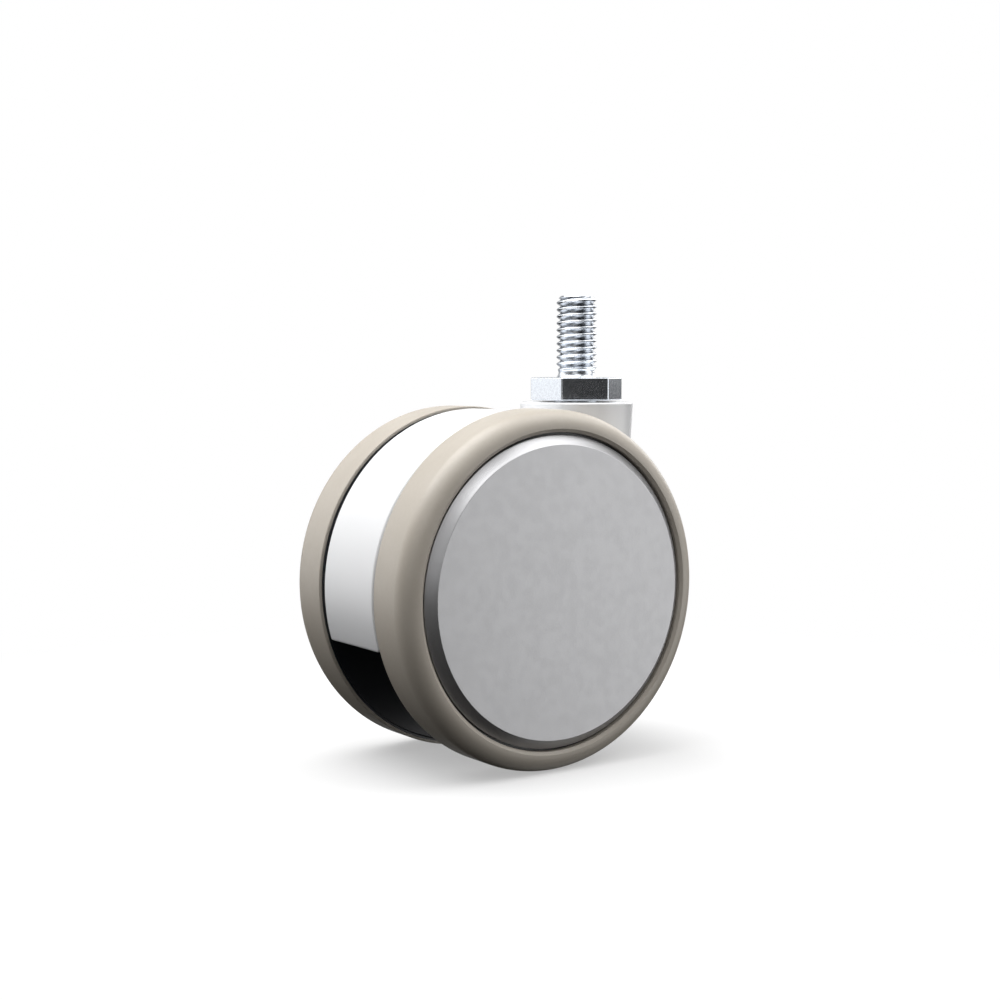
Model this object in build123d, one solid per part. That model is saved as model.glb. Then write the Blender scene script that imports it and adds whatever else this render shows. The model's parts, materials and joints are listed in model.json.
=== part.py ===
from build123d import *

import os
from math import radians, sqrt, tan

# Swivel castor: twin wheels on one axle, a moulded hood between them and a threaded stem.
# Millimetres. The origin is the middle of the collar's top face, on the swivel axis. +Z runs up
# the stem, +X is the way the castor rolls, and +Y is its left side. The axle trails behind the
# stem. Pieces of a wheel are drawn on the axle's own middle, with the axle along Y, and moved.

# Overall places
wheel_radius = 40.0
trail = 23.0

# Threaded stem, a 3/8-16 UNC end above a three-quarter inch hexagon collar
thread_diameter = 9.525
thread_length = 19.05
thread_tip_chamfer = 1.0
collar_across_flats = 19.05
collar_height = 5.35
collar_chamfer = 0.35
collar_turn = 34.3
shoulder_diameter = 10.8
stem_tip_chamfer = 0.8
stem_tip_length = 1.8

# Swivel bearing and its plain bush
swivel_gap = 0.4
bearing_recess = 1.0
swivel_bearing_bore = 9.0
swivel_bearing_outer = 17.0
swivel_bearing_width = 5.0
swivel_ball_diameter = 2.381
swivel_ball_count = 11
bush_outer_diameter = 12.0
bush_length = 8.0
bush_flange_diameter = 15.2
bush_flange_thickness = 1.2
washer_diameter = 14.6
washer_thickness = 0.8
stem_clip_thickness = 1.0
stem_clip_band = 1.7
stem_groove_depth = 0.35

# Retaining clips, in parts of the width of their band
clip_lug_part = 0.8
clip_eye_part = 0.35
clip_mouth_part = 1.76
clip_lug_sink_part = 0.2

# Ball bearings, in parts of the ball's diameter
bearing_land_part = 0.36
cage_band_part = 0.2
cage_back_part = 0.62
cage_front_part = 0.26
bearing_ring_chamfer = 0.2

# Hood
hood_width = 20.6
hood_inset = 0.9
hood_edge_radius = 0.7
hood_band_wall = 2.5
lip_drop = 11.5
lip_corner_radius = 1.4
boss_diameter = 26.6
boss_rise = 1.85
boss_draft = 3.0
boss_edge_radius = 0.5
socket_depth = 26.2
axle_tube_diameter = 14.0
nose_diameter = 11.2
web_thickness = 2.6
web_rise = 2.5
rib_thickness = 1.8
rib_inset = 1.5
rib_angles = (54, 108, 160)
pocket_side_room = 0.6
pocket_end_room = 0.8

# Wheel running clearances
wheel_gap = 1.4
wheel_clearance = 1.0

# Axle and wheel bearing
axle_tip_length = 1.2
axle_tip_chamfer = 0.5
axle_clip_thickness = 0.8
axle_clip_band = 1.5
axle_groove_depth = 0.3
wheel_bearing_bore = 8.0
wheel_bearing_outer = 22.0
wheel_bearing_width = 7.0
wheel_ball_diameter = 3.969
wheel_ball_count = 7
bearing_inset = 1.6

# Tyre
tyre_wall = 3.7
tyre_face_flat = 0.7
tyre_lip_radius = 0.35
tyre_edge_radius = 0.8
tyre_edge_flat = 0.3
tyre_key_depth = 0.8
tyre_key_width = 3.0

# Wheel core
core_inset = 0.2
core_flange_thickness = 1.2
rim_wall = 2.6
rim_recess = 2.4
core_web_thickness = 2.4
hub_wall = 2.6
hub_end = 0.5
hub_land_width = 1.8
hub_nose_gap = 0.8
hub_lip_relief = 0.4
core_rib_count = 8
core_rib_thickness = 1.6
core_rib_room = 0.6
core_rib_root = 1.0

# Cap
cap_proud = 1.0
cap_room = 1.0
cap_gap = 0.45
cap_overlap = 0.85
cap_bevel_reach = 2.1
cap_bevel_depth = 1.9
cap_edge_radius = 0.25
cap_wall = 1.6
cap_snap_wall = 1.3
cap_snap_length = 3.7
cap_snap_taper = 0.45
cap_bead_height = 0.45
cap_bead_width = 0.8
cap_bead_place = 2.6
cap_slot_count = 8
cap_slot_width = 2.0
cap_slot_depth = 3.45

# Fits
press_clearance = 0.02
running_clearance = 0.05
part_clearance = 0.1
swivel_play = 0.3

# Places that follow from the sizes above
collar_bottom = -collar_height
hood_top = collar_bottom - swivel_gap
bearing_top = hood_top - bearing_recess
bearing_bottom = bearing_top - swivel_bearing_width
socket_bottom = hood_top - socket_depth
flange_bottom = socket_bottom - bush_flange_thickness
washer_top = flange_bottom - swivel_play
washer_bottom = washer_top - washer_thickness
stem_clip_top = washer_bottom
stem_clip_bottom = stem_clip_top - stem_clip_thickness
stem_bottom = stem_clip_bottom - stem_tip_length

hood_radius = wheel_radius - hood_inset
hood_half = hood_width / 2
cavity_radius = hood_radius - hood_band_wall
axle_x = -trail
axle_z = hood_top - boss_rise - hood_radius
through_cut = 4 * wheel_radius

wheel_inner = hood_half + wheel_gap
core_inner = wheel_inner + core_inset
flange_face = core_inner + core_flange_thickness
web_face = core_inner + core_web_thickness
bearing_inner = wheel_inner + bearing_inset
bearing_outer = bearing_inner + wheel_bearing_width
bearing_middle = (bearing_inner + bearing_outer) / 2
axle_clip_inner = bearing_outer
axle_clip_outer = axle_clip_inner + axle_clip_thickness
axle_end = axle_clip_outer + axle_tip_length
cap_inside = axle_end + cap_room
cap_face = cap_inside + cap_wall
wheel_outer = cap_face - cap_proud
rim_face = wheel_outer - rim_recess

rim_radius = wheel_radius - tyre_wall
rim_bore = rim_radius - rim_wall
cap_radius = rim_bore + cap_overlap
tyre_opening_radius = cap_radius + cap_gap
tyre_shoulder_radius = wheel_radius - tyre_opening_radius - tyre_face_flat
core_flange_radius = wheel_radius - tyre_edge_radius - tyre_edge_flat
key_radius = rim_radius - tyre_key_depth
key_start = (flange_face + rim_face - tyre_key_width) / 2
key_end = key_start + tyre_key_width
cap_snap_radius = rim_bore - part_clearance
cap_snap_end = rim_face - cap_snap_length
cap_bead_middle = rim_face - cap_bead_place

stem_radius = swivel_bearing_bore / 2 - press_clearance
axle_radius = wheel_bearing_bore / 2 - press_clearance


def section(points, rounds=()):
    """A closed outline of (radius, height) points, with some corners rounded by (point, radius)."""
    face = make_face(Polyline(*points, close=True))
    for point, radius in rounds:
        corner = face.vertices().sort_by_distance((point[0], point[1], 0))[0]
        face = fillet(corner, radius)
    return face


def turned_about_y(points, rounds=()):
    """A solid turned about the axle, from (radius, place along Y) points."""
    return revolve(section(points, rounds), Axis.Y)


def turned_about_z(points, rounds=()):
    """A solid turned about the swivel axis, from (radius, height) points."""
    return revolve(Plane.XZ * section(points, rounds), Axis.Z)


def at_axle(shape):
    """Moves a piece drawn on the axle's middle to its place."""
    return Pos(axle_x, 0, axle_z) * shape


def on_side(shape, side):
    """Puts a piece drawn for the left wheel on the left (1) or on the right (-1)."""
    return at_axle(shape if side > 0 else mirror(shape, Plane.XZ))


# Stem


def threaded_stem():
    """Threaded end, hexagon collar, shoulder and pivot, turned from one bar of steel."""
    thread_radius = thread_diameter / 2
    shoulder_radius = shoulder_diameter / 2
    groove_radius = stem_radius - stem_groove_depth
    inside_collar = collar_bottom / 2
    shank = turned_about_z(
        [
            (0, thread_length),
            (thread_radius - thread_tip_chamfer, thread_length),
            (thread_radius, thread_length - thread_tip_chamfer),
            (thread_radius, inside_collar),
            (shoulder_radius, inside_collar),
            (shoulder_radius, bearing_top),
            (stem_radius, bearing_top),
            (stem_radius, stem_clip_top),
            (groove_radius, stem_clip_top),
            (groove_radius, stem_clip_bottom),
            (stem_radius, stem_clip_bottom),
            (stem_radius, stem_bottom + stem_tip_chamfer),
            (stem_radius - stem_tip_chamfer, stem_bottom),
            (0, stem_bottom),
        ]
    )
    collar = Pos(0, 0, collar_bottom) * extrude(
        Rot(0, 0, collar_turn) * RegularPolygon(collar_across_flats / 2, 6, major_radius=False),
        collar_height,
    )
    rims = collar.edges().filter_by(Axis.Z, reverse=True)
    return chamfer(rims, collar_chamfer) + shank


def retaining_clip(groove_radius, band, thickness):
    """An open spring ring with an eyed lug at each end, lying on the XY plane."""
    outer_radius = groove_radius + band
    lug_radius = clip_lug_part * band
    eye_radius = clip_eye_part * band
    mouth = clip_mouth_part * band
    reach = sqrt((outer_radius - clip_lug_sink_part * band) ** 2 - mouth**2)
    ring = Circle(outer_radius) - Circle(groove_radius)
    ring -= Pos(outer_radius, 0) * Rectangle(2 * outer_radius, 2 * (mouth - lug_radius / 2))
    for way in (1, -1):
        ring += Pos(reach, way * mouth) * Circle(lug_radius)
        ring -= Pos(reach, way * mouth) * Circle(eye_radius)
    ring -= Circle(groove_radius)
    return extrude(ring, thickness)


# Ball bearing, on its own middle with its axis along Z


def bearing_inner_ring(bore, outer, width, ball):
    """Inner ring with its groove for the balls."""
    pitch_radius = (bore + outer) / 4
    land_radius = pitch_radius - bearing_land_part * ball
    ring = Cylinder(land_radius, width) - Cylinder(bore / 2, width)
    ring = chamfer(ring.edges().filter_by(GeomType.CIRCLE), bearing_ring_chamfer)
    return ring - Torus(pitch_radius, ball / 2 + running_clearance)


def bearing_outer_ring(bore, outer, width, ball):
    """Outer ring with its groove for the balls."""
    pitch_radius = (bore + outer) / 4
    land_radius = pitch_radius + bearing_land_part * ball
    ring = Cylinder(outer / 2, width) - Cylinder(land_radius, width)
    ring = chamfer(ring.edges().filter_by(GeomType.CIRCLE), bearing_ring_chamfer)
    return ring - Torus(pitch_radius, ball / 2 + running_clearance)


def bearing_balls(bore, outer, ball, count):
    """The balls, evenly spaced on the pitch circle."""
    return Compound(PolarLocations((bore + outer) / 4, count) * Sphere(ball / 2))


def bearing_cage(bore, outer, ball, count):
    """Crown cage: a ring behind the balls with a pocket round each one."""
    pitch_radius = (bore + outer) / 4
    half_band = cage_band_part * ball
    back = cage_back_part * ball
    front = cage_front_part * ball
    band = Cylinder(pitch_radius + half_band, back + front) - Cylinder(pitch_radius - half_band, back + front)
    pockets = PolarLocations(pitch_radius, count) * Sphere(ball / 2 + running_clearance)
    return Pos(0, 0, (front - back) / 2) * band - pockets


swivel_bearing = (swivel_bearing_bore, swivel_bearing_outer, swivel_bearing_width, swivel_ball_diameter)
wheel_bearing = (wheel_bearing_bore, wheel_bearing_outer, wheel_bearing_width, wheel_ball_diameter)
swivel_set = (swivel_bearing_bore, swivel_bearing_outer, swivel_ball_diameter, swivel_ball_count)
wheel_set = (wheel_bearing_bore, wheel_bearing_outer, wheel_ball_diameter, wheel_ball_count)


def in_socket(shape):
    """Puts a bearing piece in its seat at the top of the stem's socket."""
    return Pos(0, 0, (bearing_top + bearing_bottom) / 2) * shape


def in_hub(shape):
    """Turns a bearing piece onto the axle and puts it in the left hub."""
    return Pos(0, bearing_middle, 0) * Rot(-90, 0, 0) * shape


# Swivel bush and washer


def swivel_bush():
    """Flanged plain bush pushed up into the foot of the socket."""
    inner_radius = stem_radius + running_clearance
    outer_radius = bush_outer_diameter / 2 - press_clearance
    return turned_about_z(
        [
            (inner_radius, flange_bottom),
            (bush_flange_diameter / 2, flange_bottom),
            (bush_flange_diameter / 2, socket_bottom),
            (outer_radius, socket_bottom),
            (outer_radius, socket_bottom + bush_length),
            (inner_radius, socket_bottom + bush_length),
        ]
    )


def thrust_washer():
    """Steel washer between the bush's flange and the retaining clip."""
    inner_radius = stem_radius + running_clearance
    return turned_about_z(
        [
            (inner_radius, washer_bottom),
            (washer_diameter / 2, washer_bottom),
            (washer_diameter / 2, washer_top),
            (inner_radius, washer_top),
        ]
    )


# Hood


def disc_between_wheels():
    """A solid disc with a level foot, rounded where the hood's rim and lips are rounded."""
    disc = Rot(90, 0, 0) * Cylinder(hood_radius, hood_width)
    disc -= Pos(0, 0, -lip_drop - through_cut / 2) * Box(through_cut, through_cut, through_cut)
    disc = fillet(disc.edges().filter_by(Axis.X).group_by(Axis.Z)[0], lip_corner_radius)
    arcs = disc.edges().filter_by(lambda edge: edge.geom_type == GeomType.CIRCLE and edge.radius > cavity_radius)
    return fillet(arcs + disc.edges().filter_by(Axis.Y), hood_edge_radius)


def hood_boss():
    """The tapered boss round the stem, kept clear of both treads."""
    top_radius = boss_diameter / 2
    foot_radius = top_radius - socket_depth * tan(radians(boss_draft))
    boss = turned_about_z(
        [
            (0, socket_bottom),
            (foot_radius, socket_bottom),
            (top_radius, hood_top),
            (0, hood_top),
        ],
        [((top_radius, hood_top), boss_edge_radius)],
    )
    sweep = Rot(90, 0, 0) * Cylinder(wheel_radius + wheel_clearance, through_cut)
    for side in (1, -1):
        boss -= at_axle(Pos(0, side * (hood_half + through_cut / 2), 0) * sweep)
    return boss


def hood_inside():
    """The web in the hood's middle plane, and the ribs that run out from the axle tube."""
    solid = disc_between_wheels() & Rot(90, 0, 0) * Cylinder(cavity_radius + hood_band_wall / 2, hood_width)
    foot = Pos(0, 0, web_rise - lip_drop - through_cut / 2) * Box(through_cut, through_cut, through_cut)
    web = Box(2 * wheel_radius, web_thickness, 2 * wheel_radius)
    rib = Pos(cavity_radius / 2, 0, 0) * Box(cavity_radius, hood_width - 2 * rib_inset, rib_thickness)
    for angle in rib_angles:
        web += Rot(0, -angle, 0) * rib
    return (web & solid) - foot


def hood():
    """The moulded hood: band, web, ribs, axle tube with its end bosses, and the stem's socket."""
    band = disc_between_wheels() - Rot(90, 0, 0) * Cylinder(cavity_radius, through_cut)
    tube = Rot(90, 0, 0) * Cylinder(axle_tube_diameter / 2, hood_width)
    nose = Rot(90, 0, 0) * Cylinder(nose_diameter / 2, 2 * bearing_inner)
    body = at_axle(band + hood_inside() + tube + nose) + hood_boss()
    body -= at_axle(Rot(90, 0, 0) * Cylinder(wheel_bearing_bore / 2, through_cut))
    seat_radius = swivel_bearing_outer / 2 + press_clearance
    pocket_radius = bush_flange_diameter / 2 + pocket_side_room
    pocket_floor = stem_bottom - pocket_end_room
    bore = turned_about_z(
        [
            (0, pocket_floor),
            (pocket_radius, pocket_floor),
            (pocket_radius, socket_bottom),
            (bush_outer_diameter / 2, socket_bottom),
            (bush_outer_diameter / 2, bearing_bottom),
            (seat_radius, bearing_bottom),
            (seat_radius, 0),
            (0, 0),
        ]
    )
    return body - bore


# Axle


def axle():
    """Plain steel pin with a clip groove near each end."""
    groove_radius = axle_radius - axle_groove_depth
    half = [
        (axle_radius, axle_clip_inner),
        (groove_radius, axle_clip_inner),
        (groove_radius, axle_clip_outer),
        (axle_radius, axle_clip_outer),
        (axle_radius, axle_end - axle_tip_chamfer),
        (axle_radius - axle_tip_chamfer, axle_end),
        (0, axle_end),
    ]
    other = [(radius, -place) for radius, place in reversed(half)]
    return at_axle(turned_about_y(other + half))


# Wheel


def tyre():
    """Soft tyre moulded onto the core, keyed into a groove round the rim."""
    shoulder = (wheel_radius, wheel_outer)
    inner_edge = (wheel_radius, wheel_inner)
    lip = (tyre_opening_radius, wheel_outer)
    return turned_about_y(
        [
            (core_flange_radius, wheel_inner),
            inner_edge,
            shoulder,
            lip,
            (tyre_opening_radius, rim_face),
            (rim_radius, rim_face),
            (rim_radius, key_end),
            (key_radius, key_end),
            (key_radius, key_start),
            (rim_radius, key_start),
            (rim_radius, flange_face),
            (core_flange_radius, flange_face),
        ],
        [
            (shoulder, tyre_shoulder_radius),
            (inner_edge, tyre_edge_radius),
            (lip, tyre_lip_radius),
        ],
    )


def wheel_core():
    """Moulded core: rim, web and hub, with radial ribs and a groove for the cap's snap ring."""
    bore_radius = wheel_bearing_outer / 2 + press_clearance
    hub_radius = bore_radius + hub_wall
    groove_radius = rim_bore + cap_bead_height + part_clearance
    groove_half = cap_bead_width / 2 + cap_bead_height + part_clearance
    land_radius = bore_radius - hub_land_width
    lip_radius = nose_diameter / 2 + hub_nose_gap
    core = turned_about_y(
        [
            (lip_radius, core_inner),
            (core_flange_radius, core_inner),
            (core_flange_radius, flange_face),
            (rim_radius, flange_face),
            (rim_radius, key_start),
            (key_radius, key_start),
            (key_radius, key_end),
            (rim_radius, key_end),
            (rim_radius, rim_face),
            (rim_bore, rim_face),
            (rim_bore, cap_bead_middle + groove_half),
            (groove_radius, cap_bead_middle + groove_half),
            (groove_radius, cap_bead_middle - groove_half),
            (rim_bore, cap_bead_middle - groove_half),
            (rim_bore, web_face),
            (hub_radius, web_face),
            (hub_radius, bearing_outer + hub_end),
            (bore_radius, bearing_outer + hub_end),
            (bore_radius, bearing_inner),
            (land_radius, bearing_inner),
            (land_radius, bearing_inner - hub_lip_relief),
            (lip_radius, bearing_inner - hub_lip_relief),
        ]
    )
    rib_inner = hub_radius - core_rib_root
    rib_outer = rim_bore + core_rib_root
    rib_root = web_face - core_rib_root
    rib_top = cap_snap_end - core_rib_room
    rib = Pos((rib_inner + rib_outer) / 2, (rib_root + rib_top) / 2, 0) * Box(
        rib_outer - rib_inner, rib_top - rib_root, core_rib_thickness
    )
    for n in range(core_rib_count):
        core += Rot(0, 360 * n / core_rib_count, 0) * rib
    return core


def cap():
    """Flat-faced cover with a bevelled rim, held by a slotted snap ring inside the core's rim."""
    snap_inner = cap_snap_radius - cap_snap_wall
    bead_radius = cap_snap_radius + cap_bead_height
    bead_top = cap_bead_middle + cap_bead_width / 2
    bead_bottom = cap_bead_middle - cap_bead_width / 2
    face_corner = (cap_radius - cap_bevel_reach, cap_face)
    rim_corner = (cap_radius, cap_face - cap_bevel_depth)
    cover = turned_about_y(
        [
            (0, cap_face),
            face_corner,
            rim_corner,
            (cap_radius, rim_face),
            (cap_snap_radius, rim_face),
            (cap_snap_radius, bead_top + cap_bead_height),
            (bead_radius, bead_top),
            (bead_radius, bead_bottom),
            (cap_snap_radius - cap_snap_taper, cap_snap_end),
            (snap_inner, cap_snap_end),
            (snap_inner, cap_inside),
            (0, cap_inside),
        ],
        [(face_corner, cap_edge_radius), (rim_corner, cap_edge_radius)],
    )
    slot_reach = cap_snap_wall + cap_bead_height
    slot = Pos(cap_snap_radius, cap_snap_end, 0) * Box(2 * slot_reach, 2 * cap_slot_depth, cap_slot_width)
    for n in range(cap_slot_count):
        cover -= Rot(0, 360 * (n + 0.5) / cap_slot_count, 0) * slot
    return cover


def groove_clip(side):
    """Retaining clip in the axle's groove on one side."""
    clip = retaining_clip(axle_radius - axle_groove_depth + press_clearance, axle_clip_band, axle_clip_thickness)
    return on_side(Pos(0, axle_clip_outer, 0) * Rot(90, 0, 0) * clip, side)


# Every piece under its own name
pieces = {
    "threaded_stem": threaded_stem(),
    "swivel_bearing_inner_ring": in_socket(bearing_inner_ring(*swivel_bearing)),
    "swivel_bearing_outer_ring": in_socket(bearing_outer_ring(*swivel_bearing)),
    "swivel_bearing_balls": in_socket(bearing_balls(*swivel_set)),
    "swivel_bearing_cage": in_socket(bearing_cage(*swivel_set)),
    "swivel_bush": swivel_bush(),
    "thrust_washer": thrust_washer(),
    "stem_retaining_clip": Pos(0, 0, stem_clip_bottom)
    * retaining_clip(stem_radius - stem_groove_depth + press_clearance, stem_clip_band, stem_clip_thickness),
    "hood": hood(),
    "axle": axle(),
}
for side_name, side in (("left", 1), ("right", -1)):
    pieces[f"{side_name}_tyre"] = on_side(tyre(), side)
    pieces[f"{side_name}_wheel_core"] = on_side(wheel_core(), side)
    pieces[f"{side_name}_cap"] = on_side(cap(), side)
    pieces[f"{side_name}_bearing_inner_ring"] = on_side(in_hub(bearing_inner_ring(*wheel_bearing)), side)
    pieces[f"{side_name}_bearing_outer_ring"] = on_side(in_hub(bearing_outer_ring(*wheel_bearing)), side)
    pieces[f"{side_name}_bearing_balls"] = on_side(in_hub(bearing_balls(*wheel_set)), side)
    pieces[f"{side_name}_bearing_cage"] = on_side(in_hub(bearing_cage(*wheel_set)), side)
    pieces[f"{side_name}_axle_clip"] = groove_clip(side)

os.makedirs("parts", exist_ok=True)
for name, piece in pieces.items():
    export_step(piece, f"parts/{name}.step")
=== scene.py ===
import json
from math import asin, atan2, copysign, cos, pi, radians, sqrt, tan

import bmesh
import bpy
from mathutils import Matrix, Vector


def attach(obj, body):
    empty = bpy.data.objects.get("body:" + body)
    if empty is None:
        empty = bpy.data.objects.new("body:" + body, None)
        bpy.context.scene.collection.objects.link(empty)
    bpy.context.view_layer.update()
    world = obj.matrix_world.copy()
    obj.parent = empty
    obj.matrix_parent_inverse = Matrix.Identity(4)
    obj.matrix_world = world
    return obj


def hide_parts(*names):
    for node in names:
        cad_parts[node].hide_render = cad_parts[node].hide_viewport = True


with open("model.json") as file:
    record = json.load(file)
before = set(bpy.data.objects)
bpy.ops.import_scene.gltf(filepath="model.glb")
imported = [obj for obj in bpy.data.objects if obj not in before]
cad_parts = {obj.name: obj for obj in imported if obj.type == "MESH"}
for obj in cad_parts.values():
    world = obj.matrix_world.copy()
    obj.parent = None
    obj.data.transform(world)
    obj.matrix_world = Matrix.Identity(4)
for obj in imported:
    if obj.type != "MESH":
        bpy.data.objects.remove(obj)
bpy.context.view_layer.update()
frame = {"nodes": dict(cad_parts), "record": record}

MM = 0.001

# Sizes of the castor, in millimetres and degrees; the thread's start and rise are in pitches
wheel_radius = 40.0
seat_height = 86.7
trail = 23.0
axle_x = -trail
axle_z = wheel_radius - seat_height

thread_radius = 4.7625
thread_length = 19.05
thread_pitch = 1.5875
thread_root = 3.85
thread_start = 0.42
thread_rise = 0.8
crest_fullness = 0.75
neck_radius = 4.245
neck_length = 1.25
neck_flare = 0.5
tip_chamfer = 1.0
collar_across_flats = 19.05
collar_height = 5.35
collar_edge = 0.32
collar_turn = 34.3
shoulder_radius = 5.4
pivot_radius = 4.48
pivot_chamfer = 0.8
clip_groove_radius = 4.13
clip_top = -34.25
clip_bottom = -35.25
pivot_tip = -37.05
pivot_start = -6.75

hood_top = -5.75
hood_half = 10.5
hood_radius = 39.5
band_wall = 2.5
band_edge = 0.7
lip_drop = 11.5
lip_corner = 1.4
lip_edge = 0.45
boss_radius = 13.3
boss_draft = 3.0
boss_edge = 0.5
boss_flat = 10.3
clear_radius = 41.0
tube_radius = 7.0
nose_radius = 5.6
nose_end = 13.3
axle_hole = 4.0
web_half = 1.3
web_rise = 2.5
hood_rib_half = 0.9
hood_rib_inset = 1.5
hood_rib_angles = (54, 108, 160)
bush_seat = 6.0
bearing_seat = 8.52
bearing_floor = -11.75
socket_bottom = -31.95
pocket_radius = 8.2
pocket_floor = -37.85

tyre_inner = 11.4
tyre_outer = 23.9
tyre_opening = 35.05
tyre_shoulder = 4.2
tyre_inner_edge = 0.3
tyre_crest_edge = 0.35
tyre_opening_edge = 0.12
tyre_fall_reach = 0.75
tyre_fall = 0.45
rim_radius = 36.3
rim_face = 21.5
rim_lip = 22.1
rim_lip_to_tyre = 0.04
rim_lip_to_cap = 0.06
core_inner = 11.9
flange_radius = 38.9
flange_taper = 0.3
flange_edge = 39.3
flange_trim = 0.25
flange_face = 13.1
key_radius = 35.5
key_start = 15.8
key_end = 18.8
rim_bore = 33.7
core_face = 14.3
hub_bore = 11.02
hub_radius = 13.62
hub_top = 20.8
hub_land = 9.22
hub_lip = 6.4
hub_step = 0.4
bearing_stop = 13.3
rib_count = 8
rib_root = 1.0
rib_top = 17.2
rib_thickness = 1.6
cap_face = 24.9
cap_radius = 34.5
cap_bevel_reach = 2.1
cap_bevel_depth = 1.9
cap_dish = 0.1
cap_dish_round = 1.1
cap_face_edge = 0.06
cap_rim_edge = 0.1
cap_wall = 1.6
snap_radius = 33.6
snap_inner = 32.3
snap_end = 17.8
snap_taper = 0.45
bead_middle = 18.9
bead_half = 0.4
bead_height = 0.45
bead_room = 0.1
slot_count = 8
slot_width = 2.0
slot_depth = 3.45

# How finely the round shapes are divided
wheel_steps = 256
band_steps = 200
drum_steps = 180
bore_steps = 120
stem_steps = 96
bar_steps = 48
thread_rows = 16

# Points within weld are merged, edges below sliver are dropped, points within near or same_angle (radians)
# count as in line, and a cutter reaches past a shape by spare
weld = 0.002
sliver = 0.0005
near = 0.01
spare = 1.0
same_angle = 0.001

# The studio: ways are directions from the castor, and ranges are cosines to them
soft_lights = (
    # way to its middle, cosine at its outer edge, cosine where it is full, brightness
    ((-0.26, 0.22, 0.94), 0.79, 0.95, 4.7),
    ((-0.55, 0.79, 0.27), 0.82, 0.96, 1.3),
    ((-0.97, 0.16, 0.05), 0.92, 0.98, 0.3),
    ((0.79, -0.61, 0.02), 0.82, 0.96, 1.45),
    ((0.55, -0.25, 0.8), 0.88, 0.96, 2.7),
    ((-0.3, -0.56, 0.77), 0.93, 0.98, 1.4),
    ((-0.7, -0.63, 0.3), 0.93, 0.98, 0.75),
    ((0.9, 0.3, 0.36), 0.93, 0.98, 2.2),
    ((0.6, 0.1, -0.8), 0.92, 0.98, 0.3),
)
room_level = 0.12
ceiling_gain = 0.4
ceiling_range = (0.3, 1.0)
horizon_range = (-0.2, 0.05)
front_way = (-0.52, -0.83, -0.19)
front_range = (0.3, 0.75)
front_loss = 0.6
backdrop_way = (0.57, 0.81, 0.1)
backdrop_range = (0.78, 0.9)
backdrop_level = 0.6

# The floor: half its width and where its fade starts and ends, in metres, and the share of white there
floor_grey = 0.68
floor_half = 30.0
floor_fade = (0.06, 0.2)
floor_white = (0.4, 1.0)


# Meshes


def rounded(bm, parts, affect, radius, segments):
    """Rounds the corners of an outline (VERTICES) or the edges of a solid (EDGES)."""
    bmesh.ops.bevel(
        bm,
        geom=parts,
        offset=radius * MM,
        offset_type="OFFSET",
        segments=segments,
        profile=0.5,
        affect=affect,
        clamp_overlap=affect == "EDGES",
        material=-1,
    )


def outline(points, roundings=(), closed=True):
    """A wire outline of (radius, height) points; roundings are (point number, radius, segments)."""
    bm = bmesh.new()
    corners = [bm.verts.new((radius * MM, 0, height * MM)) for radius, height in points]
    for first, second in zip(corners, corners[1:]):
        bm.edges.new((first, second))
    if closed:
        bm.edges.new((corners[-1], corners[0]))
    for number, radius, segments in roundings:
        rounded(bm, [corners[number]], "VERTICES", radius, segments)
    return bm


def rotated(bm, angle, axis):
    bmesh.ops.rotate(bm, cent=(0, 0, 0), matrix=Matrix.Rotation(angle, 3, axis), verts=bm.verts)
    return bm


def moved(bm, x, y, z):
    """Moves a shape by millimetres."""
    bmesh.ops.translate(bm, vec=(x * MM, y * MM, z * MM), verts=bm.verts)
    return bm


def spun(bm, steps, angle=2 * pi, start=0.0):
    """Turns an outline about its own upright axis."""
    rotated(bm, start, "Z")
    bmesh.ops.spin(
        bm,
        geom=bm.verts[:] + bm.edges[:],
        cent=(0, 0, 0),
        axis=(0, 0, 1),
        dvec=(0, 0, 0),
        angle=angle,
        steps=steps,
        use_merge=angle == 2 * pi,
        use_duplicate=False,
    )
    return bm


def tidied(bm):
    """Merges doubled points and turns all faces outwards."""
    bmesh.ops.remove_doubles(bm, verts=bm.verts, dist=weld * MM)
    bmesh.ops.dissolve_degenerate(bm, dist=sliver * MM, edges=bm.edges)
    bmesh.ops.recalc_face_normals(bm, faces=bm.faces)
    return bm


def turned(points, steps, roundings=()):
    """A solid turned from its outline, standing upright."""
    return tidied(spun(outline(points, roundings), steps))


def drum(radius, low, high, steps=drum_steps):
    """A plain round solid, standing upright."""
    return turned([(0, low), (radius, low), (radius, high), (0, high)], steps)


def box(low, high):
    """A box between two corners, in millimetres."""
    bm = bmesh.new()
    bmesh.ops.create_cube(bm, size=1)
    bmesh.ops.scale(bm, vec=[(b - a) * MM for a, b in zip(low, high)], verts=bm.verts)
    return moved(bm, *[(a + b) / 2 for a, b in zip(low, high)])


def filled(bm):
    """Fills the open ends of a shape."""
    bmesh.ops.holes_fill(bm, edges=[edge for edge in bm.edges if edge.is_boundary], sides=0)
    return bm


def added(bm, other):
    """Puts one shape's mesh beside another's."""
    holder = bpy.data.meshes.new("holder")
    other.to_mesh(holder)
    other.free()
    bm.from_mesh(holder)
    bpy.data.meshes.remove(holder)


def bare(name, bm):
    """A plain object from a mesh."""
    mesh = bpy.data.meshes.new(name)
    bm.to_mesh(mesh)
    bm.free()
    thing = bpy.data.objects.new(name, mesh)
    bpy.context.scene.collection.objects.link(thing)
    return thing


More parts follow.
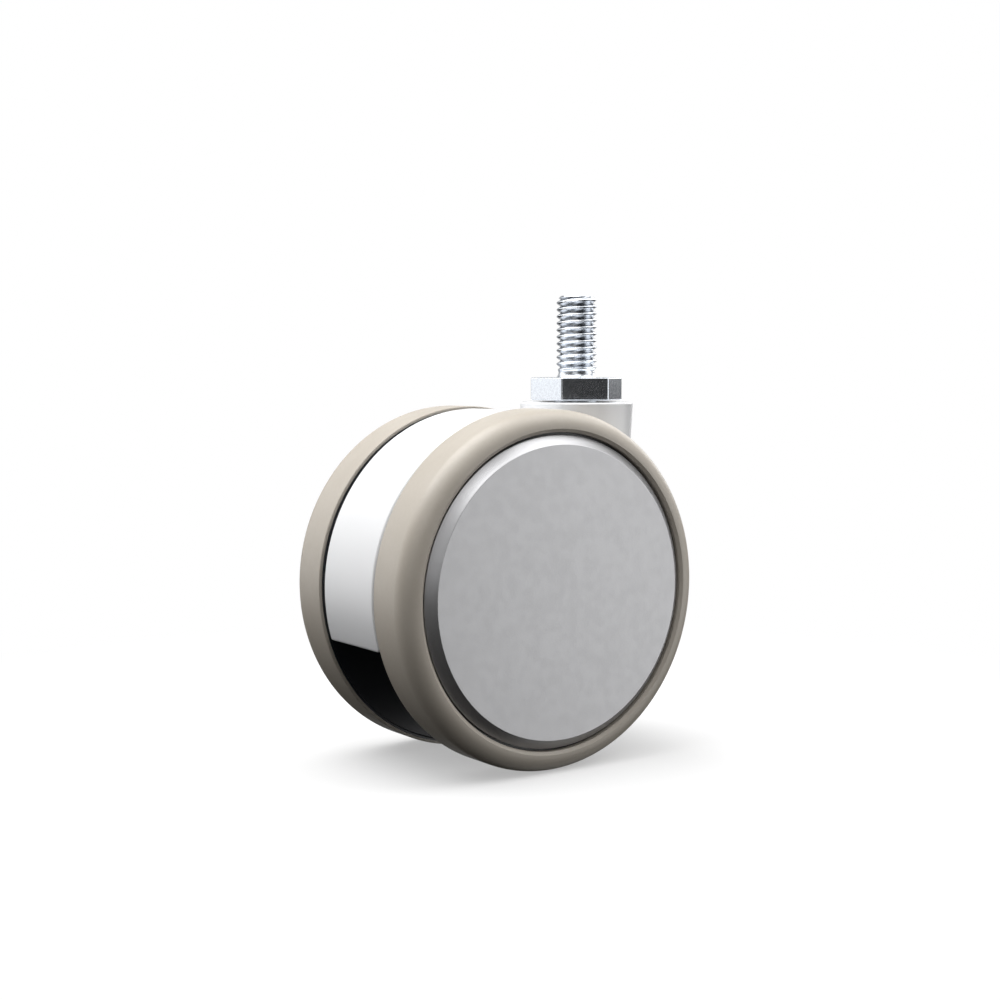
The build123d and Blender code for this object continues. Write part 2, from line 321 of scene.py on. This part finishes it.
def carved(bm, steps):
    """Joins shapes to a shape or cuts them from it, in turn."""
    thing = bare("blank", bm)
    for operation, other in steps:
        tool = bare("tool", other)
        cut = thing.modifiers.new("cut", "BOOLEAN")
        cut.operation = operation
        cut.solver = "EXACT"
        cut.object = tool
        bpy.context.view_layer.update()
        made = bpy.data.meshes.new_from_object(thing.evaluated_get(bpy.context.evaluated_depsgraph_get()))
        thing.modifiers.remove(cut)
        thing.data = made
        bpy.data.objects.remove(tool)
    result = bmesh.new()
    result.from_mesh(thing.data)
    bpy.data.objects.remove(thing)
    return result


def mended(bm):
    """Closes the hairline gaps that many cuts leave in a shape, so that it comes out the same each time."""
    bmesh.ops.remove_doubles(bm, verts=bm.verts, dist=sliver * MM)
    bmesh.ops.recalc_face_normals(filled(bm), faces=bm.faces)
    return bm


def piece(name, bm, slot, body, replaced, sharp=32):
    """A finished piece that rides on a body, stands for a node and keeps edges above an angle sharp."""
    thing = bare(name, bm)
    thing.data.materials.append(finishes[slot])
    for face in thing.data.polygons:
        face.use_smooth = True
    thing.data.set_sharp_from_angle(angle=radians(sharp))
    normals = thing.modifiers.new("even_normals", "WEIGHTED_NORMAL")
    normals.keep_sharp = True
    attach(thing, body)
    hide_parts(replaced)


# Finishes


class Field:
    """A number or colour that varies over a surface, with sums written as Python."""

    def __init__(self, tree, socket):
        self.tree = tree
        self.socket = socket

    def maths(self, operation, first, second):
        return self.tree.node("ShaderNodeMath", {"operation": operation}, {0: first, 1: second})

    def __add__(self, other):
        return self.maths("ADD", self, other)

    __radd__ = __add__

    def __rsub__(self, other):
        return self.maths("SUBTRACT", other, self)

    def __mul__(self, other):
        return self.maths("MULTIPLY", self, other)

    __rmul__ = __mul__

    def larger(self, other):
        return self.maths("MAXIMUM", self, other)


class Nodes:
    """A node tree, in which one method makes any node."""

    def __init__(self, tree):
        self.tree = tree

    def fill(self, node, values):
        """Gives a node's sockets their values or links."""
        for key, value in values.items():
            socket = node.inputs[key]
            if isinstance(value, Field):
                self.tree.links.new(value.socket, socket)
            else:
                socket.default_value = value

    def node(self, kind, settings=None, inputs=None, output=0):
        """Any node: its settings are set first, then its sockets."""
        node = self.tree.nodes.new(kind)
        for key, value in (settings or {}).items():
            setattr(node, key, value)
        self.fill(node, inputs or {})
        return Field(self, node.outputs[output])

    def between(self, mask, low, high, low_value=0.0, high_value=1.0):
        """Maps a mask from one range to another, with soft ends."""
        inputs = {"Value": mask, "From Min": low, "From Max": high, "To Min": low_value, "To Max": high_value}
        return self.node("ShaderNodeMapRange", {"interpolation_type": "SMOOTHSTEP"}, inputs)

    def mixed(self, mask, first, second):
        """A colour between two colours."""
        ends = [colour if isinstance(colour, Field) else (*colour, 1) for colour in (first, second)]
        return self.node("ShaderNodeMix", {"data_type": "RGBA"}, {0: mask, 6: ends[0], 7: ends[1]}, 2)


class Finish(Nodes):
    """A surface finish on a Principled shader."""

    def __init__(self, name, metallic=0.0, specular=0.5):
        self.material = bpy.data.materials.new(name)
        self.material.use_nodes = True
        super().__init__(self.material.node_tree)
        self.shader = self.tree.nodes["Principled BSDF"]
        self.fill(self.shader, {"Metallic": metallic, "Specular IOR Level": specular})
        self.place = self.node("ShaderNodeTexCoord", output="Object")

    def noise(self, millimetres, detail=3, roughness=0.5):
        """Soft noise whose patches are about this many millimetres across."""
        inputs = {"Vector": self.place, "Scale": 1 / (millimetres * MM)}
        inputs.update({"Detail": detail, "Roughness": roughness})
        return self.node("ShaderNodeTexNoise", {}, inputs, "Fac")

    def stretched(self, noise, low_value=0.0, high_value=1.0):
        """Spreads noise, which lies mostly about its middle, over a whole range."""
        return self.between(noise, 0.3, 0.7, low_value, high_value)

    def bump(self, height, millimetres):
        """Raises the surface by up to this many millimetres where the height is 1."""
        normal = self.node("ShaderNodeBump", {}, {"Height": height, "Distance": millimetres * MM}, "Normal")
        self.fill(self.shader, {"Normal": normal})

    def surface(self, colour, roughness):
        """The finish's colour and roughness, and the material that is ready with them."""
        self.fill(self.shader, {"Base Color": colour, "Roughness": roughness})
        return self.material


def white_nylon():
    finish = Finish("white_nylon")
    finish.bump(finish.noise(0.9, 2, 0.4), 0.004)
    return finish.surface(
        finish.mixed(finish.noise(14, 2), (0.76, 0.765, 0.775), (0.79, 0.795, 0.805)),
        finish.stretched(finish.noise(4), 0.16, 0.26),
    )


def black_nylon():
    finish = Finish("black_nylon")
    finish.bump(finish.noise(1.2, 2, 0.4), 0.004)
    return finish.surface(
        finish.mixed(finish.noise(10, 2), (0.014, 0.016, 0.019), (0.018, 0.02, 0.024)),
        finish.stretched(finish.noise(9, 2), 0.27, 0.33),
    )


def taupe_tyre():
    finish = Finish("taupe_tyre")
    finish.bump(finish.noise(0.22, 2, 0.6), 0.006)
    tone = finish.noise(9) * 0.6 + finish.noise(0.8, 2) * 0.4
    return finish.surface(
        finish.mixed(finish.stretched(tone), (0.43, 0.39, 0.335), (0.455, 0.415, 0.36)),
        finish.stretched(finish.noise(3), 0.35, 0.43),
    )


def silver_lacquer():
    finish = Finish("silver_lacquer", 0.75)
    flake = finish.noise(0.12, 1)
    finish.bump(flake, 0.0015)
    tone = finish.noise(12, 2) * 0.3 + flake * 0.7
    return finish.surface(
        finish.mixed(finish.stretched(tone), (0.48, 0.48, 0.49), (0.502, 0.502, 0.512)),
        finish.stretched(finish.noise(2), 0.34, 0.38),
    )


def zinc_plating():
    finish = Finish("zinc_plating", 1.0)
    blotch = finish.noise(0.5, 4, 0.7)
    finish.bump(finish.noise(1.1, 2), 0.003)
    return finish.surface(
        finish.mixed(finish.between(blotch, 0.35, 0.65), (0.66, 0.69, 0.74), (0.78, 0.82, 0.87)),
        finish.stretched(blotch, 0.2, 0.27),
    )


def ground_steel():
    finish = Finish("ground_steel", 1.0)
    finish.bump(finish.noise(0.15, 2), 0.002)
    return finish.surface((0.68, 0.69, 0.7, 1), finish.stretched(finish.noise(1.5), 0.12, 0.26))


def dark_spring_steel():
    finish = Finish("dark_spring_steel", 0.8)
    finish.bump(finish.noise(0.2, 2), 0.004)
    return finish.surface(
        finish.mixed(finish.noise(1), (0.07, 0.07, 0.08), (0.13, 0.13, 0.14)),
        finish.stretched(finish.noise(0.8), 0.32, 0.5),
    )


def pale_acetal():
    finish = Finish("pale_acetal")
    finish.bump(finish.noise(0.5, 2), 0.004)
    return finish.surface(
        finish.mixed(finish.noise(4, 2), (0.76, 0.74, 0.66), (0.8, 0.78, 0.71)),
        finish.stretched(finish.noise(1), 0.34, 0.46),
    )


finishes = {
    "white_nylon": white_nylon(),
    "black_nylon": black_nylon(),
    "taupe_tyre": taupe_tyre(),
    "silver_cap": silver_lacquer(),
    "zinc_plated_steel": zinc_plating(),
    "bearing_steel": ground_steel(),
    "spring_steel": dark_spring_steel(),
    "pale_bush_plastic": pale_acetal(),
}
for entry in frame["record"]["subparts"]:
    shown = frame["nodes"][entry["node"]]
    shown.data.materials.clear()
    shown.data.materials.append(finishes[entry["material_slot"]])


# Stem


def held(value):
    """Holds a value between 0 and 1."""
    return min(1, max(0, value))


def threaded_shank():
    """A right-hand thread screwed up from its outline, with a plain neck and a chamfered tip."""
    depth = thread_radius - thread_root
    # turns below the collar's top and above the tip, which are cut off again
    spare_turns = 1.5
    turns = int(thread_length / thread_pitch + 2 * spare_turns)
    points = []
    for row in range(thread_rows * turns):
        turn = row / thread_rows
        crest = 0.5 - 0.5 * cos(2 * pi * (turn + thread_start))
        points.append((thread_root + depth * crest**crest_fullness, (turn - spare_turns) * thread_pitch))
    bm = outline(points, closed=False)
    bmesh.ops.spin(
        bm,
        geom=bm.verts[:] + bm.edges[:],
        cent=(0, 0, 0),
        axis=(0, 0, 1),
        dvec=(0, 0, thread_pitch / stem_steps * MM),
        angle=2 * pi,
        steps=stem_steps,
        use_duplicate=False,
    )
    bmesh.ops.remove_doubles(bm, verts=bm.verts, dist=near * MM)
    for height in (-collar_height / 4, thread_length):
        bmesh.ops.bisect_plane(
            bm,
            geom=bm.verts[:] + bm.edges[:] + bm.faces[:],
            plane_co=(0, 0, height * MM),
            plane_no=(0, 0, 1),
            clear_inner=height < 0,
            clear_outer=height > 0,
        )
    for corner in bm.verts:
        height = corner.co.z / MM
        radius = corner.co.xy.length / MM
        wanted = min(radius, thread_radius - tip_chamfer + max(0, thread_length - height))
        share = held((height - neck_length) / (thread_rise * thread_pitch))
        neck = neck_radius + neck_flare * held(1 - height / neck_length) ** 2
        wanted = neck + (wanted - neck) * share
        corner.co.xy *= wanted / radius
    return tidied(filled(bm))


def hexagon_collar():
    """The hexagon under the thread, with softened edges."""
    bm = bmesh.new()
    corner_radius = collar_across_flats / 2 / cos(pi / 6) * MM
    bmesh.ops.create_circle(bm, cap_ends=True, segments=6, radius=corner_radius)
    rotated(bm, radians(collar_turn - 90), "Z")
    extruded = bmesh.ops.extrude_face_region(bm, geom=bm.faces[:])
    lower = [item for item in extruded["geom"] if isinstance(item, bmesh.types.BMVert)]
    bmesh.ops.translate(bm, vec=(0, 0, -collar_height * MM), verts=lower)
    bmesh.ops.recalc_face_normals(bm, faces=bm.faces)
    rounded(bm, bm.edges[:], "EDGES", collar_edge, 4)
    return bm


def stem():
    """Thread, collar, shoulder and pivot with its clip groove."""
    pivot = turned(
        [
            (0, -collar_height / 2),
            (shoulder_radius, -collar_height / 2),
            (shoulder_radius, pivot_start),
            (pivot_radius, pivot_start),
            (pivot_radius, clip_top),
            (clip_groove_radius, clip_top),
            (clip_groove_radius, clip_bottom),
            (pivot_radius, clip_bottom),
            (pivot_radius, pivot_tip + pivot_chamfer),
            (pivot_radius - pivot_chamfer, pivot_tip),
            (0, pivot_tip),
        ],
        stem_steps,
    )
    return carved(hexagon_collar(), [("UNION", threaded_shank()), ("UNION", pivot)])


piece("stem_with_thread", stem(), "zinc_plated_steel", "stem", "threaded_stem", 28)


# Hood


def lip_cutter(side):
    """What a rounded corner takes off both lips of the band on one side."""
    reach = 2 * hood_radius
    middle = side * (hood_half - lip_corner)
    low, high = sorted((middle, side * (hood_half + spare)))
    block = box((-reach, -lip_drop - spare, low), (reach, lip_corner - lip_drop, high))
    bar = rotated(drum(lip_corner, -reach - spare, reach + spare, bar_steps), pi / 2, "Y")
    return carved(block, [("DIFFERENCE", moved(bar, 0, lip_corner - lip_drop, middle))])


def band():
    """The curved band between the wheels, with a level lip at each end."""
    inner = hood_radius - band_wall
    section = [(inner, -hood_half), (hood_radius, -hood_half), (hood_radius, hood_half), (inner, hood_half)]
    below = asin(lip_drop / hood_radius)
    bm = spun(outline(section, [(1, band_edge, 4), (2, band_edge, 4)]), band_steps, pi + 2 * below, -below)
    bmesh.ops.remove_doubles(bm, verts=bm.verts, dist=weld * MM)
    level = -lip_drop * MM
    for corner in bm.verts:
        radius = corner.co.xy.length
        if min(abs(atan2(corner.co.y, corner.co.x * way) + below) for way in (1, -1)) < same_angle:
            corner.co.y = level
            corner.co.x = copysign(sqrt(radius**2 - level**2), corner.co.x)
    bmesh.ops.recalc_face_normals(filled(bm), faces=bm.faces)
    lips = [edge for edge in bm.edges if all(abs(end.co.y - level) < near * MM for end in edge.verts)]
    rounded(bm, lips, "EDGES", lip_edge, 4)
    return carved(bm, [("DIFFERENCE", lip_cutter(1)), ("DIFFERENCE", lip_cutter(-1))])


def laid(bm):
    """Lays an upright shape along the axle, so that what lay along Y stands up."""
    return moved(rotated(bm, pi / 2, "X"), axle_x, 0, axle_z)


def boss():
    """The tapered boss round the stem, flat towards each wheel."""
    foot = boss_radius - (hood_top - socket_bottom) * tan(radians(boss_draft))
    profile = [(0, socket_bottom), (foot, socket_bottom), (boss_radius, hood_top), (0, hood_top)]
    cuts = []
    for side in (1, -1):
        low, high = sorted((side * boss_flat, side * (boss_radius + spare)))
        cuts.append(("DIFFERENCE", laid(drum(clear_radius, low, high))))
    return carved(turned(profile, drum_steps, [(2, boss_edge, 4)]), cuts)


def web():
    """The middle web that fills the band, cut level at its foot."""
    reach = 2 * wheel_radius
    foot = axle_z - lip_drop + web_rise
    below = box((axle_x - reach, -reach, axle_z - reach), (axle_x + reach, reach, foot))
    return carved(laid(drum(hood_radius - band_wall / 2, -web_half, web_half)), [("DIFFERENCE", below)])


def hood_rib(angle):
    """A rib from the axle tube to the band, on both sides of the web."""
    reach = hood_half - hood_rib_inset
    rib = box((0, -reach, -hood_rib_half), (hood_radius - band_wall / 2, reach, hood_rib_half))
    return moved(rotated(rib, -radians(angle), "Y"), axle_x, 0, axle_z)


def stem_socket():
    """The stepped bore for bearing, stem, bush and clip."""
    profile = [
        (0, pocket_floor),
        (pocket_radius, pocket_floor),
        (pocket_radius, socket_bottom),
        (bush_seat, socket_bottom),
        (bush_seat, bearing_floor),
        (bearing_seat, bearing_floor),
        (bearing_seat, hood_top + spare),
        (0, hood_top + spare),
    ]
    return turned(profile, bore_steps)


def hood():
    """Band, web, ribs, boss, axle tube and its end bosses, with both bores, as one moulding."""
    solids = [web(), *[hood_rib(angle) for angle in hood_rib_angles], boss()]
    solids.append(laid(drum(tube_radius, -hood_half, hood_half)))
    solids.append(laid(drum(nose_radius, -nose_end, nose_end)))
    bores = [laid(drum(axle_hole, -2 * nose_end, 2 * nose_end)), stem_socket()]
    steps = [("UNION", solid) for solid in solids] + [("DIFFERENCE", bore) for bore in bores]
    return mended(carved(laid(band()), steps))


piece("hood_moulding", hood(), "white_nylon", "fork", "hood", 25)


# Wheels


def tyre():
    """Soft tread with a rounded shoulder, keyed into the rim."""
    return turned(
        [
            (flange_radius, tyre_inner + flange_trim),
            (wheel_radius, tyre_inner + flange_trim),
            (wheel_radius, tyre_outer),
            (tyre_opening + tyre_fall_reach, tyre_outer),
            (tyre_opening, tyre_outer - tyre_fall),
            (tyre_opening, rim_face),
            (rim_radius, rim_face),
            (rim_radius, key_end),
            (key_radius, key_end),
            (key_radius, key_start),
            (rim_radius, key_start),
            (rim_radius, flange_face),
            (flange_radius, flange_face),
        ],
        wheel_steps,
        [
            (2, tyre_shoulder, 16),
            (1, tyre_inner_edge, 4),
            (3, tyre_crest_edge, 6),
            (4, tyre_opening_edge, 3),
        ],
    )


def spokes(low, high, count, start=0.0):
    """Equal boxes set in a ring round the upright axis."""
    bm = bmesh.new()
    for number in range(count):
        added(bm, rotated(box(low, high), 2 * pi * (number + start) / count, "Z"))
    return bm


def core():
    """Black core: flange, rim with a groove for the cap, web, hub and ribs."""
    groove_half = bead_half + bead_height + bead_room
    groove_radius = rim_bore + bead_height + bead_room
    wheel = turned(
        [
            (hub_lip, core_inner),
            (flange_radius - flange_taper, core_inner),
            (flange_radius, tyre_inner),
            (flange_edge, tyre_inner),
            (flange_edge, tyre_inner + flange_trim),
            (flange_radius, tyre_inner + flange_trim),
            (flange_radius, flange_face),
            (rim_radius, flange_face),
            (rim_radius, key_start),
            (key_radius, key_start),
            (key_radius, key_end),
            (rim_radius, key_end),
            (rim_radius, rim_face),
            (tyre_opening - rim_lip_to_tyre, rim_face),
            (tyre_opening - rim_lip_to_tyre, rim_lip),
            (cap_radius + rim_lip_to_cap, rim_lip),
            (cap_radius + rim_lip_to_cap, rim_face),
            (rim_bore, rim_face),
            (rim_bore, bead_middle + groove_half),
            (groove_radius, bead_middle + groove_half),
            (groove_radius, bead_middle - groove_half),
            (rim_bore, bead_middle - groove_half),
            (rim_bore, core_face),
            (hub_radius, core_face),
            (hub_radius, hub_top),
            (hub_bore, hub_top),
            (hub_bore, bearing_stop),
            (hub_land, bearing_stop),
            (hub_land, bearing_stop - hub_step),
            (hub_lip, bearing_stop - hub_step),
        ],
        wheel_steps,
    )
    ribs = spokes(
        (hub_radius - rib_root, -rib_thickness / 2, core_face - rib_root),
        (rim_bore + rib_root, rib_thickness / 2, rib_top),
        rib_count,
    )
    return carved(wheel, [("UNION", ribs)])


def cap():
    """Flat cover with a bevelled rim and its slotted snap ring."""
    cover = turned(
        [
            (0, cap_face),
            (cap_radius - cap_bevel_reach, cap_face),
            (cap_radius - cap_bevel_reach / 2 - cap_dish, cap_face - cap_bevel_depth / 2 - cap_dish),
            (cap_radius, cap_face - cap_bevel_depth),
            (cap_radius, rim_face),
            (snap_radius, rim_face),
            (snap_radius, bead_middle + bead_half + bead_height),
            (snap_radius + bead_height, bead_middle + bead_half),
            (snap_radius + bead_height, bead_middle - bead_half),
            (snap_radius - snap_taper, snap_end),
            (snap_inner, snap_end),
            (snap_inner, cap_face - cap_wall),
            (0, cap_face - cap_wall),
        ],
        wheel_steps,
        [(1, cap_face_edge, 2), (2, cap_dish_round, 8), (3, cap_rim_edge, 3)],
    )
    slots = spokes(
        (snap_inner - bead_height, -slot_width / 2, snap_end - slot_depth),
        (snap_radius + 2 * bead_height, slot_width / 2, snap_end + slot_depth),
        slot_count,
        0.5,
    )
    return carved(cover, [("DIFFERENCE", slots)])


def on_axle(bm, side):
    """Sets an upright shape on the axle, its top outwards, on the left (1) or the right (-1)."""
    rotated(bm, -pi / 2, "X")
    bmesh.ops.scale(bm, vec=(1, side, 1), verts=bm.verts)
    moved(bm, axle_x, 0, axle_z)
    bmesh.ops.recalc_face_normals(bm, faces=bm.faces)
    return bm


for side_name, side in (("left", 1), ("right", -1)):
    for shape, label, node, slot in (
        (tyre, "tyre_tread", "tyre", "taupe_tyre"),
        (core, "core_moulding", "wheel_core", "black_nylon"),
        (cap, "cap_cover", "cap", "silver_cap"),
    ):
        body = side_name + "_wheel"
        piece(side_name + "_" + label, on_axle(shape(), side), slot, body, side_name + "_" + node)


# Studio


def watched(tree, names):
    """One for rays of these kinds, and nothing for the rest."""
    total, *others = [tree.node("ShaderNodeLightPath", output=name) for name in names]
    for kind in others:
        total = total.larger(kind)
    return total


def towards(tree, way, direction):
    """How nearly a ray goes in a direction: one when it does."""
    settings = {"operation": "DOT_PRODUCT"}
    return tree.node("ShaderNodeVectorMath", settings, {0: way, 1: Vector(direction).normalized()}, "Value")


def studio_level(tree, way):
    """The studio's brightness in a direction: soft lights above and at the sides of a dim room."""
    height = towards(tree, way, (0, 0, 1))
    room = room_level + ceiling_gain * tree.between(height, *ceiling_range)
    room = room * tree.between(height, *horizon_range)
    level = room * (1 - front_loss * tree.between(towards(tree, way, front_way), *front_range))
    for middle, outer, inner, brightness in soft_lights:
        level = level + brightness * tree.between(towards(tree, way, middle), outer, inner)
    return level


def studio_world():
    """The studio's light, white for the camera, with a pale backdrop behind the castor for reflections."""
    world = bpy.data.worlds.new("studio")
    bpy.context.scene.world = world
    world.use_nodes = True
    sky = Nodes(world.node_tree)
    way = sky.node("ShaderNodeTexCoord", output="Generated")
    seen = watched(sky, ["Is Camera Ray", "Is Transmission Ray"])
    behind = sky.between(towards(sky, way, backdrop_way), *backdrop_range, 0.0, backdrop_level)
    behind = behind * watched(sky, ["Is Glossy Ray"])
    light = sky.mixed(seen, studio_level(sky, way).larger(behind), (1, 1, 1))
    sky.fill(world.node_tree.nodes["Background"], {"Color": light})


def studio_floor():
    """A pale floor that keeps the shadow and fades into the white background."""
    bm = bmesh.new()
    bmesh.ops.create_grid(bm, x_segments=1, y_segments=1, size=floor_half)
    floor = bare("floor", moved(bm, 0, 0, -seat_height))
    paint = Finish("floor_paint", specular=0.0)
    floor.data.materials.append(paint.surface((floor_grey, floor_grey, floor_grey, 1), 0.9))
    white = paint.node("ShaderNodeEmission", {}, {"Color": (1, 1, 1, 1)})
    ends = {0: paint.place, 1: (axle_x * MM, 0, -seat_height * MM)}
    distance = paint.node("ShaderNodeVectorMath", {"operation": "DISTANCE"}, ends, "Value")
    share = paint.between(distance, *floor_fade, *floor_white)
    shaded = Field(paint, paint.shader.outputs[0])
    blend = paint.node("ShaderNodeMixShader", {}, {0: share, 1: shaded, 2: white})
    paint.fill(paint.tree.nodes["Material Output"], {"Surface": blend})
    for rays in ("diffuse", "glossy", "shadow"):
        setattr(floor, "visible_" + rays, False)


studio_world()
studio_floor()

camera_data = bpy.data.cameras.new("camera")
camera_data.sensor_width = 36
camera_data.lens = 59.16
camera_data.clip_start = 0.01
camera_data.clip_end = 100
camera = bpy.data.objects.new("camera", camera_data)
camera.location = (-0.23887, -0.30725, 0.00244)
camera.rotation_mode = "QUATERNION"
camera.rotation_quaternion = Vector((0.57464, 0.81443, -0.08069)).to_track_quat("-Z", "Y")
bpy.context.scene.collection.objects.link(camera)
bpy.context.scene.camera = camera

bpy.context.scene.view_settings.view_transform = "Standard"
